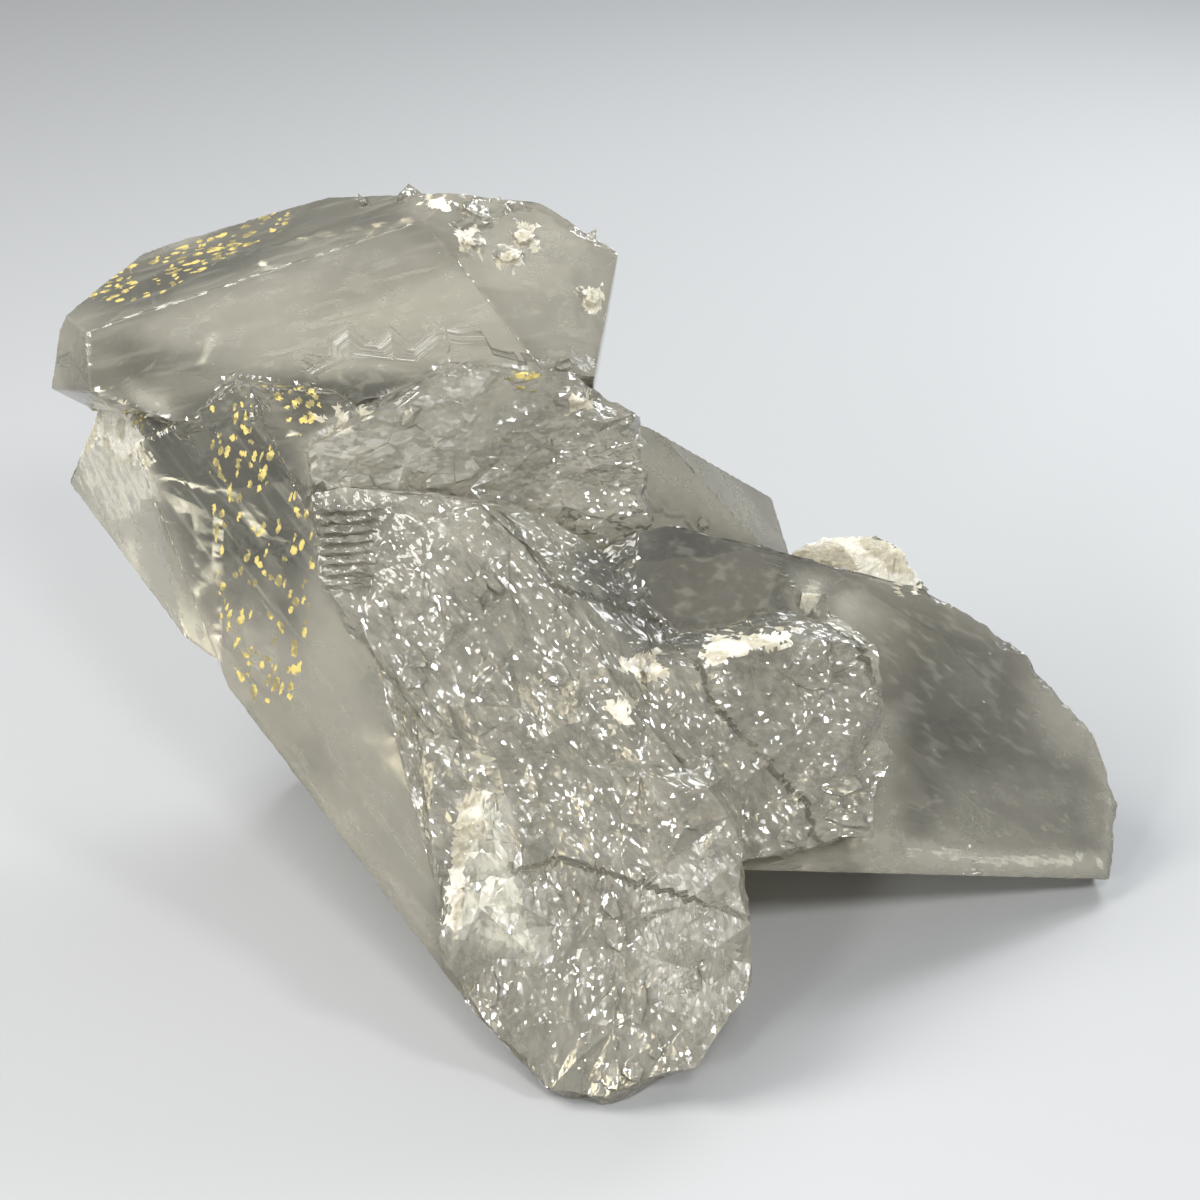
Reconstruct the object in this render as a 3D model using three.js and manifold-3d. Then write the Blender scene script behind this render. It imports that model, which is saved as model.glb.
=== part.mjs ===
// A natural quartz cluster: crystals that grew into one another, and so one solid.
// Millimetres, +Z up. X runs to the right along the cluster's length, and Y runs away from the viewer.
// A crystal is the space inside its own flat faces, as growth leaves it. Each face is written as its
// outward direction (azimuth from +X and elevation, in degrees) and its distance from the crystal's heart.
import * as THREE from "three";
import { ConvexGeometry } from "three/addons/geometries/ConvexGeometry.js";
import { mergeVertices } from "three/addons/utils/BufferGeometryUtils.js";
import Module from "manifold-3d";

const wasm = await Module();
wasm.setup();

// Driving dimensions
const LEAN_AXIS = new THREE.Vector3(-0.61, 0.61, 0.51).normalize(); // length of the leaning crystal
const LEVEL_AXIS = new THREE.Vector3(-0.97, -0.1, -0.2).normalize(); // length of the level crystal
const TOE_AXIS = new THREE.Vector3(0, 0.5, 0.86).normalize(); // length of the overgrowth's toe
const ACROSS = new THREE.Vector3(1, 0, 0.1).normalize(); // grain of the middle and the block
const PLATE_ROOT = 1.6; // how deep a growth plate goes into the face below it
const PLATE_TAPER = 0.72; // top of a plate against its foot
const PLATE_TILT = 0.35; // spread of the plates' slopes against their face
const PLATE_TURN = 0.7; // spread of their directions, radians
const PLATE_MARGIN = 1.2; // a plate's middle keeps this far from its face's edges
const FIELD_LONG = 110; // plates are tried over this length and width of a face
const FIELD_WIDE = 80;
const TRIES = 40; // for each plate, at most
const SCATTER = 0.13; // how far a rough corner strays sideways, against the length of its edges
const SUNKEN = 0.65; // share of the lumps that lie lower than the flat face
const UNEVEN = 0.5; // a rough corner's own rise, against the lump's
const NUGGET_CORNERS = 11;
const NUGGET_REACH = [0.8, 1.3]; // of its corners, against half its size
const CHIP_RADIUS = [0.9, 2]; // against the rim's chip size, as is the next
const CHIP_DEPTH = [0.03, 0.16];
const CHIP_SPACING = 1.5;
const ROOM = 400; // larger than the cluster, for the cut at its foot

// A plate's outline, from -1 to 1 along and across it, and how far each corner reaches of that
const SLAB_OUTLINE = [[-1, 0.2], [-0.4, 1], [0.7, 0.9], [1, -0.3], [0.1, -1], [-0.8, -0.7]];
const SLAB_REACH = [0.75, 1.15];

// Where the streams of random numbers start
const PLATE_SEED = 20;
const CRUST_SEED = 40;
const CHIP_SEED = 70;

// The level ridges across the striated corner of the overgrowth
const STRIATIONS = { count: 8, pitch: 1.5, long: 12, shorter: 0.6, wide: 1.3, high: 0.4 };
const FIRST_STRIATION = new THREE.Vector3(-34.5, 44.2, 67);
const STRIATION_AXIS = new THREE.Vector3(1, 0, -0.05);
const STRIATED_FACE = 1; // in the overgrowth's list

// The crystals, from the front to the back

const leaning = {
  heart: [-30, 42, 36],
  faces: [
    [-124, 19, 11.5], // grey front
    [-72, 44, 15], // dark top
    [-175, -47, 12.7], // under side
    [-165, 50, 42.5], // point, left
    [66, 73, 43.5], // point, right
    [171, -32, 17.3], // far corner
    [-91, 32, 14.5], // front, below the overgrowth
    [0, -10, 42], // right
    [-58, -41, 57.5], // foot, front
    [49, -6, 28], // back, right
    [95, -53, 28], // back, low
    [11, 43, 26], // back, high
    [135, 30, 58], // far end
  ],
};

const pale = {
  heart: [-66, 74, 52],
  faces: [
    [-148, 5, 5.5], // cream left
    [166, -76, 5.6], // under side
    [143, 34, 15], // far corner
    [165, 67, 18], // far top
    [-124, 19, 11.5], // just behind the leaning crystal's front
    [0, 45, 20], // right
    [90, 30, 20], // back
    [60, -50, 30], // low back
    [-60, -60, 40], // low front
  ],
};

const overgrowth = {
  heart: [0, 25, 30],
  faces: [
    [-91, 32, 7], // broad front
    [-107, 44, 19], // striated corner
    [-175, -8, 32.5], // left, high
    [71, 67, 39.5], // top
    [-27, 47, 13.5], // right bevel
    [-151, -23, 13.5], // left
    [6, 2, 17.5], // right
    [-21, -36, 29.5], // low right
    [-47, -55, 34], // foot
    [90, 0, 22], // back
    [90, -60, 25], // low back
  ],
};

const toe = {
  heart: [0, 12, 14],
  faces: [
    [-93, 31, 5.4], // broad front
    [-166, 2, 21], // left
    [-160, -35, 15.5], // low left
    [-105, -48, 18], // foot
    [-58, -42, 17], // foot, right
    [-21, -35, 17], // low right
    [3, 3, 19.5], // right
    [-3, 29, 24], // right, high
    [-57, 79, 23.5], // top
    [90, 0, 22], // back
    [90, -60, 25], // low back
  ],
};

const level = {
  heart: [-30, 80, 85],
  faces: [
    [-96, 36, 11], // light front
    [-152, 72, 11], // flecked top
    [-149, 16, 40], // tip
    [-57, 51, 14], // broken right end
    [101, 27, 14.5], // far top, left
    [112, 23, 20], // far top, middle
    [82, 32, 15.5], // far top, right
    [84, 60, 12.8], // right end, top
    [50, 39, 20], // right end, far corner
    [-5, -9, 31], // right end, side
    [148, 24, 33], // tip, far side
    [-122, -51, 30], // low left
    [-80, -53, 18.5], // low front
    [0, -90, 20], // under side
    [90, 0, 24], // back
    [140, 0, 34], // back, left
    [30, -10, 32], // back, right
  ],
};

const middle = {
  heart: [-10, 65, 55],
  faces: [
    [-79, 13, 12.5], // broad front
    [3, 8, 16.5], // right
    [73, 70, 22], // top
    [163, 63, 27], // top, left
    [34, 48, 19.5], // top, right
    [-54, -42, 10.5], // low, right
    [180, 10, 32], // left
    [90, 0, 25], // back
    [0, -90, 30], // under side
    [-90, -45, 20], // low, front
  ],
};

const behind = {
  heart: [10, 90, 40],
  faces: [
    [-40, 25, 15], // front
    [-5, 37, 13], // right
    [68, 52, 11], // top
    [90, 0, 16], // back
    [180, 0, 20], // left
    [0, -90, 30], // under side
    [-90, -40, 20], // low, front
    [20, -20, 18], // low, right
  ],
};

const arched = {
  heart: [35, 75, 20],
  faces: [
    [-54, 37, 25], // broad front
    [-108, 46, 50.5], // left front
    [43, 65, 22], // top, left
    [120, 38, 20.5], // top, over the left front
    [74, 53, 15.5], // top
    [57, 41, 15], // arch, first quarter
    [44, 27, 18.5], // arch, second quarter
    [27, 5, 29], // arch, third quarter
    [8, -18, 40], // arch, last quarter
    [-94, -58, 26], // low front
    [124, -30, 20], // back, low
    [124, 20, 22], // back, high
    [170, -20, 42], // left end
  ],
};

const block = {
  heart: [25, 50, 20],
  faces: [
    [-59, 37, 22], // broad front
    [99, 85, 26.5], // top
    [45, 76, 25.5], // top, right
    [32, 18, 16.5], // corner
    [-3, -23, 10.5], // right
    [18, 0, 11], // right, low
    [-74, -57, 10], // under side
    [180, 0, 18.5], // left
    [90, -30, 20], // back
  ],
};

const root = {
  heart: [-4, 76, 26],
  faces: [
    [0, -90, 28], // foot
    [-122, -8, 21], // front, left
    [-64, -12, 26], // front, right
    [-12, 0, 38], // right
    [38, 12, 34], // back, right
    [92, 8, 26], // back
    [142, 6, 36], // back, left
    [-168, 14, 34], // left
    [96, 48, 38], // top, back
    [4, 63, 24], // top
  ],
};

// Small pieces of rough crust, by their corners

const shelf = [
  [28, 72, 46], [33, 76, 46.5], [41, 78, 46], [44, 76, 45], [46, 74, 41.5], [48.5, 74, 39],
  [44, 69, 36], [29, 69, 39], [32, 86, 40], [43, 85, 39], [38, 82, 28],
];
const stub = [
  [28.3, 55, 48.3], [30.4, 54.2, 48.6], [32, 55.8, 48], [31.8, 54.2, 44.2], [29.4, 53.4, 43.6],
  [28.2, 55, 44.8], [29, 61, 46], [31.6, 61, 45], [30, 60, 42],
];

// Where crust has gathered in the seams and on the ridges: a middle and a size
const CRUSTS = [
  [4.5, 33, 47.6, 3.4], [8.2, 34, 47, 3.6], [5, 29, 45.2, 2.6], [2.8, 27, 43.6, 2.2], [13, 40, 43.6, 2.8],
  [18, 45.5, 43, 3.2], [23, 47, 43.2, 3.2], [28, 49, 43, 2.6], [35.6, 59, 42.2, 1.4],
  [-34, 85, 94.6, 4.6], [-28, 84, 95.8, 5.2], [-22, 82.5, 95.8, 5], [-15, 82, 94.8, 4.8],
  [-8, 83, 92.8, 4.6], [-2, 82.5, 90.4, 4.2], [-7, 57, 77.5, 2.4], [-14, 57.5, 78.6, 3], [-20, 56, 78, 3.2],
  [-26, 53.5, 77, 3.4], [-33, 50, 75, 3.4], [-38, 47, 71, 3.6], [-30, 49, 69, 3.2],
  [-22, 9.5, 13.5, 2.8], [-20, 13, 19, 2.6], [-21, 16, 23.5, 2.4],
];

// Rims that have chipped: corners along each, and which crystal they belong to
const CHIPPED_RIMS = [
  {
    of: arched,
    size: 4.5,
    along: [[48, 67, 42], [62, 67.5, 32], [72.5, 65, 21], [76.5, 59, 12], [75.5, 51, 3.5]],
  },
  {
    of: level,
    size: 4,
    along: [[-20, 79, 97.5], [-6, 83, 94.5], [2, 80.5, 89.5], [0.5, 68.5, 82], [-1, 61, 77]],
  },
  {
    of: toe,
    size: 3.2,
    along: [[-20, 9, 14.5], [-9, 0.5, 3], [2, 0, 1], [14, 1, 6], [19, 6, 14]],
  },
];

// Growth plates: which face they sit on, the way they are drawn out, and the spread of their sizes
const PLATE_FIELDS = [
  { of: overgrowth, face: 0, grain: LEAN_AXIS, count: 19, long: [4, 11], wide: [2, 4.5], high: [0.3, 0.8] },
  { of: overgrowth, face: 4, grain: LEAN_AXIS, count: 7, long: [3, 6], wide: [1.4, 2.4], high: [0.3, 0.6] },
  { of: toe, face: 0, grain: TOE_AXIS, count: 17, long: [4, 10], wide: [2, 4], high: [0.3, 0.8] },
  { of: middle, face: 0, grain: ACROSS, count: 19, long: [4, 10], wide: [2, 4.5], high: [0.3, 0.9] },
  { of: block, face: 0, grain: ACROSS, count: 13, long: [4, 10], wide: [2, 4.5], high: [0.3, 0.7] },
  { of: level, face: 3, grain: LEVEL_AXIS, count: 9, long: [3, 7], wide: [2, 4], high: [0.3, 0.7] },
  { of: behind, face: 0, grain: ACROSS, count: 6, long: [3, 5], wide: [1.6, 2.6], high: [0.3, 0.6] },
];

// How the rough crystals are broken up: longest edge, size and height of their lumps
const ROUGH = new Map([
  [overgrowth, { step: 7.5, lump: 8, height: 0.6 }],
  [toe, { step: 7, lump: 7, height: 0.6 }],
  [middle, { step: 7.5, lump: 8, height: 0.7 }],
  [block, { step: 7.5, lump: 8, height: 0.5 }],
  [root, { step: 12, lump: 14, height: 2.4 }],
]);

// A repeatable stream of numbers from 0 to 1
function stream(seed) {
  let state = seed * 2654435761;
  return () => {
    state = (state * 1664525 + 1013904223) % 4294967296;
    return state / 4294967296;
  };
}

const between = (random, [low, high]) => low + (high - low) * random();
const spread = (random, width) => (random() - 0.5) * width;
const vectors = (points) => points.map((point) => new THREE.Vector3(...point));

function towards(azimuth, elevation) {
  const a = THREE.MathUtils.degToRad(azimuth);
  const e = THREE.MathUtils.degToRad(elevation);
  return new THREE.Vector3(Math.cos(e) * Math.cos(a), Math.cos(e) * Math.sin(a), Math.sin(e));
}

const planesOf = ({ faces }) =>
  faces.map(([azimuth, elevation, distance]) => ({ normal: towards(azimuth, elevation), distance }));

const isInside = (planes, point, margin) =>
  planes.every((plane) => plane.normal.dot(point) < plane.distance - margin);

// The point where three planes meet, or nothing where they are nearly parallel
function meetingPoint(a, b, c) {
  const bc = b.normal.clone().cross(c.normal);
  const volume = a.normal.dot(bc);
  if (Math.abs(volume) < 1e-4) return null;
  return bc
    .multiplyScalar(a.distance)
    .add(c.normal.clone().cross(a.normal).multiplyScalar(b.distance))
    .add(a.normal.clone().cross(b.normal).multiplyScalar(c.distance))
    .divideScalar(volume);
}

// The corners of a crystal: the points where three faces meet, inside all the rest
function cornersOf(planes) {
  const found = [];
  for (let i = 0; i < planes.length; i++)
    for (let j = i + 1; j < planes.length; j++)
      for (let k = j + 1; k < planes.length; k++) {
        const point = meetingPoint(planes[i], planes[j], planes[k]);
        if (point && isInside(planes, point, -1e-6)) found.push(point);
      }
  return found;
}

// The corners in turn round their middle, as seen from the side that the normal points to
function inTurn(corners, middleOfRing, normal) {
  const east = corners[0].clone().sub(middleOfRing).normalize();
  const north = normal.clone().cross(east);
  const angle = (corner) => {
    const arm = corner.clone().sub(middleOfRing);
    return Math.atan2(arm.dot(north), arm.dot(east));
  };
  return [...corners].sort((a, b) => angle(a) - angle(b));
}

// A crystal's flat faces, each as a fan of triangles round its middle
function facesOf(shape) {
  const planes = planesOf(shape);
  const corners = cornersOf(planes);
  const places = [];
  planes.forEach(({ normal, distance }) => {
    const onFace = corners.filter((corner) => distance - normal.dot(corner) < 1e-4);
    if (onFace.length < 3) return;
    const sum = onFace.reduce((total, corner) => total.add(corner), new THREE.Vector3());
    const middleOfFace = sum.divideScalar(onFace.length);
    const ring = inTurn(onFace, middleOfFace, normal);
    ring.forEach((corner, i) => places.push(middleOfFace, corner, ring[(i + 1) % ring.length]));
  });
  return new THREE.BufferGeometry().setFromPoints(places).translate(...shape.heart);
}

// A geometry with only places and shared corners
function bare(geometry) {
  const places = new THREE.BufferGeometry().setAttribute("position", geometry.getAttribute("position"));
  if (geometry.index) places.setIndex(geometry.index);
  return mergeVertices(places, 1e-4);
}

function solidOf(geometry) {
  const { attributes, index } = bare(geometry);
  return new wasm.Manifold(
    new wasm.Mesh({
      numProp: 3,
      vertProperties: attributes.position.array,
      triVerts: new Uint32Array(index.array),
    }),
  );
}

const hull = (points) => solidOf(new ConvexGeometry(points));

// One triangle, parted at the new corners halfway along its edges, null where an edge stays whole
function parted([a, b, c], [ab, bc, ca]) {
  const cuts = [ab, bc, ca].filter((corner) => corner !== null).length;
  if (cuts === 0) return [[a, b, c]];
  if (cuts === 3) return [[a, ab, ca], [ab, b, bc], [ca, bc, c], [ab, bc, ca]];
  if (ab === null || ca !== null) return parted([b, c, a], [bc, ca, ab]);
  if (bc === null) return [[a, ab, c], [ab, b, c]];
  return [[a, ab, c], [ab, bc, c], [ab, b, bc]];
}

// Halves every edge that is longer than step, until none is left. Neighbours share the new corners.
function refined(geometry, step) {
  const { attributes, index } = bare(geometry);
  const places = [];
  for (let i = 0; i < attributes.position.count; i++)
    places.push(new THREE.Vector3().fromBufferAttribute(attributes.position, i));
  let triangles = [];
  for (let i = 0; i < index.count; i += 3)
    triangles.push([index.getX(i), index.getX(i + 1), index.getX(i + 2)]);
  let before = 0;
  while (before !== triangles.length) {
    before = triangles.length;
    const halves = new Map();
    const half = (a, b) => {
      if (places[a].distanceTo(places[b]) <= step) return null;
      const key = a < b ? `${a} ${b}` : `${b} ${a}`;
      if (!halves.has(key)) halves.set(key, places.push(places[a].clone().lerp(places[b], 0.5)) - 1);
      return halves.get(key);
    };
    triangles = triangles.flatMap(([a, b, c]) => parted([a, b, c], [half(a, b), half(b, c), half(c, a)]));
  }
  return { places, triangles };
}

// The outward direction at every corner, larger triangles counting for more
function normalsOf(places, triangles) {
  const normals = places.map(() => new THREE.Vector3());
  triangles.forEach((triangle) => {
    const [a, b, c] = triangle.map((corner) => places[corner]);
    const normal = b.clone().sub(a).cross(c.clone().sub(a));
    triangle.forEach((corner) => normals[corner].add(normal));
  });
  return normals.map((normal) => normal.normalize());
}

// Lumps strewn through the space of a crystal, each with its own rise
function lumpsIn(places, { lump, height }, random) {
  const box = new THREE.Box3().setFromPoints(places);
  const size = box.getSize(new THREE.Vector3());
  const lumps = [];
  for (let i = (size.x * size.y * size.z) / lump ** 3; i > 0; i--) {
    const at = new THREE.Vector3(random(), random(), random()).multiply(size).add(box.min);
    lumps.push({ at, rise: (random() - SUNKEN) * height });
  }
  return lumps;
}

// A crystal whose skin is broken into lumps: each corner moves along its normal with the nearest lump
function roughCrystal(shape, roughness, seed) {
  const { step, height } = roughness;
  const random = stream(seed);
  const { places, triangles } = refined(facesOf(shape), step);
  const normals = normalsOf(places, triangles);
  const lumps = lumpsIn(places, roughness, random);
  const moved = places.map((place, i) => {
    const nearer = (best, next) =>
      next.at.distanceToSquared(place) < best.at.distanceToSquared(place) ? next : best;
    const rise = lumps.reduce(nearer).rise + spread(random, height * UNEVEN);
    const sideways = towards(random() * 360, random() * 60).multiplyScalar(step * SCATTER);
    return place.clone().add(sideways).addScaledVector(normals[i], rise);
  });
  const geometry = new THREE.BufferGeometry().setFromPoints(moved);
  geometry.setIndex(triangles.flat());
  return solidOf(geometry);
}

const crystal = (shape, i) =>
  ROUGH.has(shape) ? roughCrystal(shape, ROUGH.get(shape), i + 1) : solidOf(facesOf(shape));

// A low slab with slanting sides, whose foot is sunk in the face it sits on. Its corners are uneven.
function slab(at, normal, along, { long, wide, high }, random) {
  const side = normal.clone().cross(along);
  const points = [];
  SLAB_OUTLINE.forEach(([s, t]) => {
    const reach = between(random, SLAB_REACH);
    for (const [rise, scale] of [[-PLATE_ROOT, reach], [high, reach * PLATE_TAPER]])
      points.push(
        at
          .clone()
          .addScaledVector(normal, rise)
          .addScaledVector(along, (s * scale * long) / 2)
          .addScaledVector(side, (t * scale * wide) / 2),
      );
  });
  return hull(points);
}

// Growth plates strewn over one face, most of them drawn out along the grain
function plates({ of, face, grain, count, long, wide, high }, seed) {
  const random = stream(seed);
  const planes = planesOf(of);
  const { normal, distance } = planes[face];
  const others = planes.filter((_, i) => i !== face);
  const along = grain.clone().projectOnPlane(normal).normalize();
  const side = normal.clone().cross(along);
  const heart = new THREE.Vector3(...of.heart);
  const made = [];
  for (let tries = 0; made.length < count && tries < count * TRIES; tries++) {
    const place = normal
      .clone()
      .multiplyScalar(distance)
      .addScaledVector(along, spread(random, FIELD_LONG))
      .addScaledVector(side, spread(random, FIELD_WIDE));
    if (!isInside(others, place, PLATE_MARGIN)) continue;
    const tilted = normal
      .clone()
      .addScaledVector(along, spread(random, PLATE_TILT))
      .addScaledVector(side, spread(random, PLATE_TILT))
      .normalize();
    const turned = along.clone().applyAxisAngle(normal, spread(random, PLATE_TURN));
    const size = { long: between(random, long), wide: between(random, wide), high: between(random, high) };
    made.push(slab(place.add(heart), tilted, turned.projectOnPlane(tilted).normalize(), size, random));
  }
  return made;
}

// Level ridges across the corner of the overgrowth, one below the other, each shorter than the last
function striations() {
  const { normal } = planesOf(overgrowth)[STRIATED_FACE];
  const along = STRIATION_AXIS.clone().projectOnPlane(normal).normalize();
  const down = normal.clone().cross(along).negate();
  const made = [];
  for (let i = 0; i < STRIATIONS.count; i++) {
    const place = FIRST_STRIATION.clone().addScaledVector(down, i * STRIATIONS.pitch);
    const size = { ...STRIATIONS, long: STRIATIONS.long - i * STRIATIONS.shorter };
    made.push(slab(place, normal, along, size, () => 0.5));
  }
  return made;
}

// A small faceted lump of crust
function nugget([x, y, z, size], seed) {
  const random = stream(seed);
  const points = [];
  for (let i = 0; i < NUGGET_CORNERS; i++) {
    const out = towards(random() * 360, Math.asin(random() * 2 - 1) * THREE.MathUtils.RAD2DEG);
    const reach = (size / 2) * between(random, NUGGET_REACH);
    points.push(out.multiplyScalar(reach).add(new THREE.Vector3(x, y, z)));
  }
  return hull(points);
}

// Chips out of a rim, each the bite of a many-sided ball
function chips({ of, along, size }, seed) {
  const random = stream(seed);
  const rim = new THREE.CatmullRomCurve3(vectors(along), false, "centripetal");
  const heart = new THREE.Vector3(...of.heart);
  const front = planesOf(of)[0].normal;
  const count = Math.round(rim.getLength() / (size * CHIP_SPACING));
  const made = [];
  for (let i = 0; i < count; i++) {
    const radius = size * between(random, CHIP_RADIUS);
    const depth = size * between(random, CHIP_DEPTH);
    const place = rim.getPointAt((i + random()) / count);
    const out = place.clone().sub(heart).projectOnPlane(front).normalize().add(front).normalize();
    place.addScaledVector(out, radius - depth);
    const ball = new THREE.IcosahedronGeometry(radius, 1);
    ball.rotateX(random() * Math.PI).rotateY(random() * Math.PI).translate(place.x, place.y, place.z);
    made.push(solidOf(ball));
  }
  return made;
}

// The whole cluster, cut off flat at its foot, without any crumb that a chip has freed
function cluster() {
  const crystals = [leaning, pale, overgrowth, toe, level, middle, behind, arched, block, root];
  const grown = [
    ...crystals.map(crystal),
    hull(vectors(shelf)),
    hull(vectors(stub)),
    ...PLATE_FIELDS.flatMap((field, i) => plates(field, PLATE_SEED + i)),
    ...striations(),
    ...CRUSTS.map((crust, i) => nugget(crust, CRUST_SEED + i)),
  ];
  const chipped = CHIPPED_RIMS.flatMap((rim, i) => chips(rim, CHIP_SEED + i));
  const aboveFoot = solidOf(new THREE.BoxGeometry(ROOM, ROOM, ROOM).translate(0, 0, ROOM / 2));
  const whole = wasm.Manifold.union(grown).subtract(wasm.Manifold.union(chipped)).intersect(aboveFoot);
  const [largest] = whole.decompose().sort((a, b) => b.volume() - a.volume());
  const { vertProperties, numProp, triVerts } = largest.getMesh();
  const geometry = new THREE.BufferGeometry();
  geometry.setAttribute("position", new THREE.BufferAttribute(vertProperties, numProp));
  geometry.setIndex(new THREE.BufferAttribute(triVerts, 1));
  return geometry;
}

// The origin is the middle of the foot: the centre of the box around the cluster, at its lowest point
function centred(geometry) {
  geometry.computeBoundingBox();
  const { min, max } = geometry.boundingBox;
  return geometry.translate(-(min.x + max.x) / 2, -(min.y + max.y) / 2, -min.z);
}

const smokyQuartz = new THREE.MeshStandardMaterial({ color: 0xb4ae9c, roughness: 0.15, metalness: 0 });
const quartz = new THREE.Mesh(centred(cluster()), smokyQuartz);
quartz.name = "quartz_cluster";

const part = new THREE.Group();
part.add(quartz);

export default part;
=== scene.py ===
"""Finishes a smoky quartz cluster: glassy and frosted faces, milky cracks, golden flecks, a pale stage."""

import itertools

import bpy
import numpy as np
from bpy.props import FloatProperty, FloatVectorProperty, PointerProperty
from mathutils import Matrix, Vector
from mathutils.bvhtree import BVHTree


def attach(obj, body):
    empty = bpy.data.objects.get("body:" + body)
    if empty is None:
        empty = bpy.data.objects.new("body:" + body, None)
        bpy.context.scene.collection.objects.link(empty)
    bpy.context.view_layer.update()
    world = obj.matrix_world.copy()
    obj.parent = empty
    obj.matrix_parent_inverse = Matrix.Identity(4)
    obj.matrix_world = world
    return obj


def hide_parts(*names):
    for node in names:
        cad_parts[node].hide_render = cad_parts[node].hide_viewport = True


bl_info = {
    "name": "Smoky Quartz Finish",
    "version": (1, 0, 0),
    "blender": (4, 5, 0),
    "location": "View3D > Sidebar > Quartz",
    "description": "Gives a cluster of smoky quartz its crystal skin, its flecks and a pale stage",
    "category": "Add Mesh",
}

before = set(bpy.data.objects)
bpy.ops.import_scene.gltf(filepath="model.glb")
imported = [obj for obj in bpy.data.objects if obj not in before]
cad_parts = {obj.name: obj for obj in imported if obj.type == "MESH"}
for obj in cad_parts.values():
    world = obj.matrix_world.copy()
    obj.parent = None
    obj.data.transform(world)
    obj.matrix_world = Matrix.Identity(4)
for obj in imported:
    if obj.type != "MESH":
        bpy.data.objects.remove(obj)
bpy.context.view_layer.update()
NODE = "quartz_cluster"
MM = 0.001

# The photograph's camera, in millimetres and in pixels of its 1200 by 1200 frame
CAMERA_AT = np.array([1.5, -372.4, 246.2])
LOOK_AT = np.array([1.5, -1.6, 49.0])
PHOTO_SIZE = 1200
FOCAL_PIXELS = 2979.0
SENSOR = 36.0
PIXEL = 0.141  # one pixel on the cluster, in millimetres, about

# The long axis of each crystal, with places in it in millimetres
LEAN = (-0.61, 0.61, 0.51)
LEVEL = (-0.97, -0.1, -0.2)
UPRIGHT = (0.0, 0.5, 0.86)
ACROSS = (1.0, 0.0, 0.1)
ARCHED = (0.9, -0.2, -0.38)
GRAINS = [
    ((-45, 5, 50), LEAN),
    ((-25, -10, 30), LEAN),
    ((-5, -25, 12), LEAN),
    ((-25, -8, 55), LEAN),
    ((-5, -22, 38), LEAN),
    ((8, -25, 24), LEAN),
    ((-64, 22, 52), LEAN),
    ((2, -40, 12), UPRIGHT),
    ((2, -46, 5), UPRIGHT),
    ((-50, 28, 80), LEVEL),
    ((-25, 28, 88), LEVEL),
    ((-5, 28, 85), LEVEL),
    ((-22, 5, 65), ACROSS),
    ((-3, 5, 62), ACROSS),
    ((20, -5, 30), ACROSS),
    ((30, -5, 20), ACROSS),
    ((20, 35, 50), ACROSS),
    ((40, 10, 30), ARCHED),
    ((65, 15, 12), ARCHED),
    ((-2, 25, 20), UPRIGHT),
]

# Outlines read off the photograph, in its pixels, of what each part of the skin shows, with its amount
MILKY_AND_RIM_LIGHT = [
    ([(98, 396), (124, 407), (160, 497), (120, 530), (74, 482), (76, 456)], 1.0),
    # The next two are a painted rim light: pale strips along the lower left edge of the leaning crystal
    ([(75, 480), (112, 490), (175, 570), (262, 700), (242, 716)], 0.62),
    ([(232, 700), (262, 700), (420, 900), (410, 915)], 0.45),
    ([(466, 797), (510, 800), (512, 863), (548, 927), (541, 960), (490, 955), (448, 930), (456, 880)], 0.8),
    ([(302, 440), (350, 408), (430, 397), (500, 412), (478, 482), (400, 495), (308, 482)], 0.62),
    ([(470, 372), (520, 362), (560, 380), (500, 412), (440, 400)], 0.5),
    ([(846, 705), (905, 712), (900, 760), (908, 880), (860, 870), (880, 790)], 0.5),
    ([(640, 880), (720, 830), (745, 900), (748, 990), (700, 1040), (640, 1000)], 0.3),
    ([(1026, 684), (1087, 690), (1087, 759), (1050, 765), (1030, 730)], 0.55),
    ([(905, 840), (1000, 852), (1108, 850), (1107, 872), (1000, 870), (905, 862)], 0.9),
    ([(930, 815), (962, 812), (966, 842), (935, 848)], 0.55),
    ([(940, 770), (1060, 770), (1108, 800), (1108, 850), (930, 845)], 0.4),
    ([(1070, 700), (1084, 712), (1116, 790), (1110, 868), (1098, 868), (1104, 790)], 0.75),
    ([(625, 410), (720, 455), (784, 541), (740, 536), (632, 470)], 0.5),
    ([(796, 573), (826, 578), (822, 618), (798, 612)], 0.95),
    ([(840, 599), (852, 599), (850, 625), (841, 622)], 1.0),
    ([(130, 385), (165, 398), (172, 418), (135, 404)], 0.8),
    ([(240, 345), (330, 340), (420, 372), (330, 376), (250, 374)], 0.45),
    ([(470, 240), (500, 232), (560, 225), (575, 240), (500, 262)], 0.5),
    ([(120, 330), (150, 312), (400, 226), (474, 277), (541, 364), (240, 372), (165, 345)], 0.36),
    ([(200, 560), (330, 580), (370, 700), (450, 900), (400, 885), (240, 680)], 0.34),
    ([(480, 275), (545, 215), (610, 255), (598, 380), (545, 366)], 0.36),
]
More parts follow.
